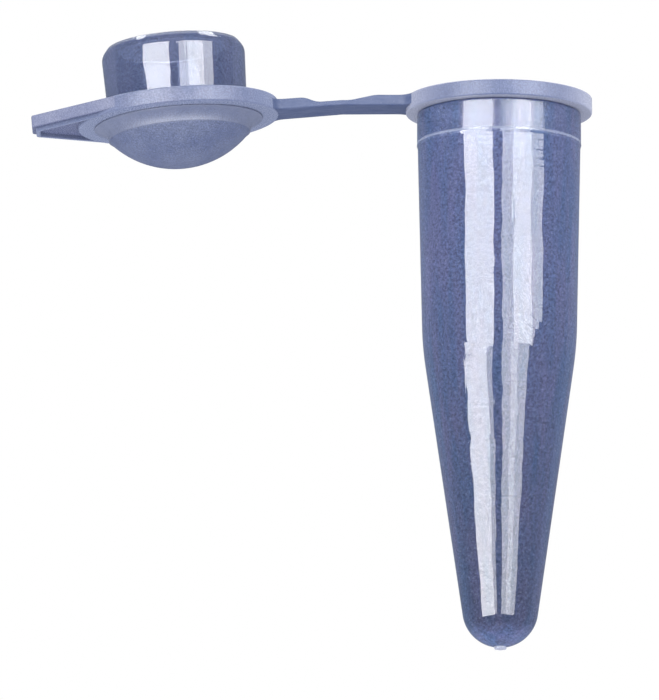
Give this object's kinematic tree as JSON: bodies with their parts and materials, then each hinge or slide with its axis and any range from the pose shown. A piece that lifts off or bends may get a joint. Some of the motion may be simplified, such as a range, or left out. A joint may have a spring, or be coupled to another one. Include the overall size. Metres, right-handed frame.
{
  "type": "microcentrifuge tube",
  "caption": "Thin-wall conical reaction tube with a flat rim and a domed plug cap that folds shut on a moulded strap.",
  "frame": {"origin": "centre of the rim's underside, on the tube's axis", "axes": "+Z along the tube's axis, out of the mouth; the open cap lies towards -X; Y is across the strap and along every hinge line"},
  "size_m": [0.0211, 0.0076, 0.0232],
  "materials": {
    "clear_plastic": "clear, glossy, blue-grey tint",
    "frosted_plastic": "finely frosted, milky lavender-grey",
    "strap_plastic": "satin, blue-grey tint"
  },
  "bodies": {
    "tube": {"rim_flange": "frosted_plastic", "mouth_collar": "clear_plastic", "barrel": "clear_plastic", "cone": "clear_plastic", "tip": "clear_plastic", "gate_mark": "clear_plastic", "tube_strap_root": "strap_plastic"},
    "strap_inner": {"strap_tube_half": "strap_plastic"},
    "strap_outer": {"strap_cap_half": "strap_plastic"},
    "cap": {"cap_strap_root": "strap_plastic", "cap_disc": "frosted_plastic", "thumb_tab": "frosted_plastic", "tab_lip": "frosted_plastic", "plug_skirt": "clear_plastic", "seal_bead": "clear_plastic", "dome_ring": "frosted_plastic", "cap_dome": "frosted_plastic"}
  },
  "joints": [
    {"name": "tube_bend", "type": "hinge", "parent": "tube", "child": "strap_inner", "pos_m": [-0.00405, 0, 0.00017], "axis": [0, 1, 0], "range_deg": [-30, 0]},
    {"name": "strap_fold", "type": "hinge", "parent": "strap_inner", "child": "strap_outer", "pos_m": [-0.00589, 0, 0.00055], "axis": [0, 1, 0], "range_deg": [0, 179.5]},
    {"name": "cap_bend", "type": "hinge", "parent": "strap_outer", "child": "cap", "pos_m": [-0.00804, 0, 0.00043], "axis": [0, 1, 0], "range_deg": [0, 35]}
  ],
  "couplings": [
    {"joint": "tube_bend", "follows": "strap_fold", "ratio": -0.16713},
    {"joint": "cap_bend", "follows": "strap_fold", "ratio": 0.19499}
  ]
}
